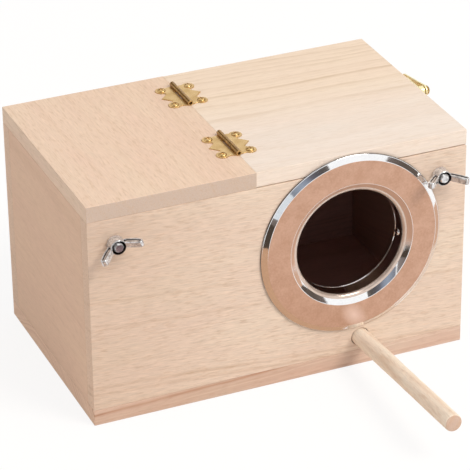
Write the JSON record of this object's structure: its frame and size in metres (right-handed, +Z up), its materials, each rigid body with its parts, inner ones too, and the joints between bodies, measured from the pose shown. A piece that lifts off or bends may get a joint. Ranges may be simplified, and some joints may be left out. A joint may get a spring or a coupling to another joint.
{
  "type": "hanging nest box",
  "caption": "Wooden nest box for small birds with a hinged half lid, a metal-ringed entrance, a perch and wing-nut bolts for hanging it on cage bars.",
  "frame": {"origin": "middle of the underside of the base board", "axes": "+X right along the front, +Y to the back, so the entrance faces -Y, +Z up"},
  "size_m": [0.2072, 0.222, 0.1228],
  "materials": {
    "base_wood": "sanded, unvarnished",
    "wall_wood": "sanded, unvarnished",
    "side_wood": "sanded, unvarnished",
    "top_wood": "sanded, unvarnished",
    "lid_wood": "sanded, unvarnished",
    "dowel_wood": "sanded, unvarnished",
    "ring_steel": "polished",
    "tack_steel": "polished",
    "zinc_steel": "bright zinc plated",
    "brass": "brass plated, satin"
  },
  "bodies": {
    "box": {"base_board": "base_wood", "front_panel": "wall_wood", "back_panel": "wall_wood", "left_panel": "side_wood", "right_panel": "side_wood", "fixed_top": "top_wood", "entrance_ring": "ring_steel", "ring_tack_1": "tack_steel", "ring_tack_2": "tack_steel", "hanging_bolt_left": "zinc_steel", "hanging_bolt_right": "zinc_steel", "hinge_front_fixed_leaf": "brass", "hinge_front_pin": "brass", "hinge_front_screw_1": "brass", "hinge_front_screw_2": "brass", "hinge_back_fixed_leaf": "brass", "hinge_back_pin": "brass", "hinge_back_screw_1": "brass", "hinge_back_screw_2": "brass", "keeper_plate": "brass", "keeper_peg": "brass", "keeper_screw_lower": "brass", "keeper_screw_upper": "brass"},
    "lid": {"lid": "lid_wood", "hinge_front_lid_leaf": "brass", "hinge_front_screw_3": "brass", "hinge_front_screw_4": "brass", "hinge_back_lid_leaf": "brass", "hinge_back_screw_3": "brass", "hinge_back_screw_4": "brass", "latch_plate": "brass", "latch_plate_screw_front": "brass", "latch_plate_screw_back": "brass", "latch_pivot_screw": "brass"},
    "latch_hook": {"latch_hook": "brass"},
    "wing_nut_left": {"wing_nut_left": "zinc_steel"},
    "wing_nut_right": {"wing_nut_right": "zinc_steel"},
    "perch": {"perch": "dowel_wood"}
  },
  "joints": [
    {"name": "lid_hinge", "type": "hinge", "parent": "box", "child": "lid", "pos_m": [-0.0133, 0, 0.1214], "axis": [0, -1, 0], "range_deg": [0, 170]},
    {"name": "latch_swing", "type": "hinge", "parent": "lid", "child": "latch_hook", "pos_m": [0.1046, -0.0046, 0.1165], "axis": [1, 0, 0], "range_deg": [-80, 100]},
    {"name": "wing_nut_left_spin", "type": "hinge", "parent": "box", "child": "wing_nut_left", "pos_m": [-0.0862, -0.06, 0.0986], "axis": [0, -1, 0], "continuous": true},
    {"name": "wing_nut_right_spin", "type": "hinge", "parent": "box", "child": "wing_nut_right", "pos_m": [0.0852, -0.06, 0.0986], "axis": [0, -1, 0], "continuous": true},
    {"name": "perch_pull", "type": "slide", "parent": "box", "child": "perch", "axis": [0, -0.9976, 0.0698], "range_m": [0, 0.03]}
  ]
}
